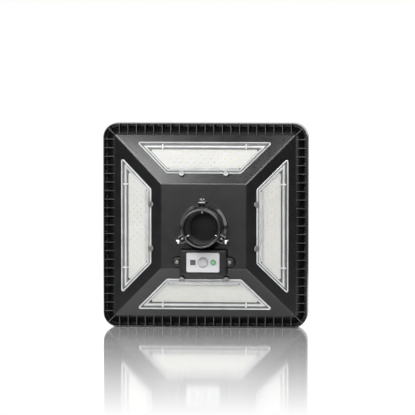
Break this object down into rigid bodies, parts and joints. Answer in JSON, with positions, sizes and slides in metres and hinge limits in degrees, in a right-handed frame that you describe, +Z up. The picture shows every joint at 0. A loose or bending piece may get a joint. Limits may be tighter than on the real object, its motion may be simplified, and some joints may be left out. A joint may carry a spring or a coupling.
{
  "type": "solar pole-top floodlight",
  "caption": "Square solar area light that slips over a pole top, with four LED light fields, a clamped pole socket and a motion sensor box.",
  "frame": {"origin": "on the surface the lamp stands on, under the centre of its box", "axes": "+Z up across the square face as the lamp stands on its lower edge, +X to the right of the light side, -Y out of the light side and the pole socket. On its pole the lamp is turned so that -Y points down"},
  "size_m": [0.38, 0.139, 0.38],
  "materials": {
    "housing": "black moulded plastic, satin",
    "frame": "black moulded plastic, fine grain",
    "socket": "black moulded plastic, semi-gloss",
    "tray": "black moulded plastic",
    "solar_glass": "toughened clear glass over dark cells",
    "solar_cells": "dark monocrystalline cells in a laminate",
    "lens": "clear moulded polycarbonate",
    "led_board": "white solder mask with rows of small LEDs",
    "circuit_board": "green circuit board",
    "steel": "plated steel",
    "bolt_steel": "bright zinc-plated steel",
    "seal": "black silicone rubber",
    "faceplate": "silver grey satin",
    "motion_lens": "milky white faceted dome",
    "window": "dark infrared-passing plastic",
    "button": "soft green rubberised cap",
    "battery_wrap": "blue shrink wrap",
    "wire": "insulated wire"
  },
  "bodies": {
    "lamp": {"lower_housing": "housing", "panel_frame": "frame", "solar_glass": "solar_glass", "cell_laminate": "solar_cells", "housing_seal": "seal", "pole_socket": "socket", "sensor_housing": "housing", "sensor_faceplate": "faceplate", "motion_lens": "motion_lens", "remote_window": "window", "sensor_board": "circuit_board", "motion_detector": "steel", "button_switch": "window", "sensor_seal": "seal", "battery_tray": "tray", "battery_strap": "steel", "charge_controller": "circuit_board", "panel_lead": "wire", "battery_lead": "wire", "sensor_lead": "wire", "lens_cover_top": "lens", "lens_seal_top": "seal", "led_board_top": "led_board", "led_lead_top": "wire", "lens_cover_left": "lens", "lens_seal_left": "seal", "led_board_left": "led_board", "led_lead_left": "wire", "lens_cover_bottom": "lens", "lens_seal_bottom": "seal", "led_board_bottom": "led_board", "led_lead_bottom": "wire", "lens_cover_right": "lens", "lens_seal_right": "seal", "led_board_right": "led_board", "led_lead_right": "wire", "lens_screw_1": "steel", "lens_screw_2": "steel", "lens_screw_3": "steel", "lens_screw_4": "steel", "lens_screw_5": "steel", "lens_screw_6": "steel", "lens_screw_7": "steel", "lens_screw_8": "steel", "clamp_nut_1": "bolt_steel", "socket_screw_1": "steel", "clamp_nut_2": "bolt_steel", "socket_screw_2": "steel", "clamp_nut_3": "bolt_steel", "socket_screw_3": "steel", "sensor_screw_1": "steel", "sensor_screw_2": "steel", "battery_cell_1": "battery_wrap", "battery_cell_2": "battery_wrap", "battery_cell_3": "battery_wrap", "battery_cell_4": "battery_wrap"},
    "bolt_1": {"clamp_bolt_1": "bolt_steel"},
    "bolt_2": {"clamp_bolt_2": "bolt_steel"},
    "bolt_3": {"clamp_bolt_3": "bolt_steel"},
    "button": {"power_button": "button"}
  },
  "joints": [
    {"name": "bolt_1_travel", "type": "slide", "parent": "lamp", "child": "bolt_1", "axis": [0, 0, 1], "range_m": [-0.0016, 0.0058]},
    {"name": "bolt_2_travel", "type": "slide", "parent": "lamp", "child": "bolt_2", "axis": [-0.866, 0, -0.5], "range_m": [-0.0016, 0.0058]},
    {"name": "bolt_3_travel", "type": "slide", "parent": "lamp", "child": "bolt_3", "axis": [0.866, 0, -0.5], "range_m": [-0.0016, 0.0058]},
    {"name": "button_press", "type": "slide", "parent": "lamp", "child": "button", "axis": [0, 1, 0], "range_m": [0, 0.001], "stiffness_N_per_m": 1200}
  ]
}
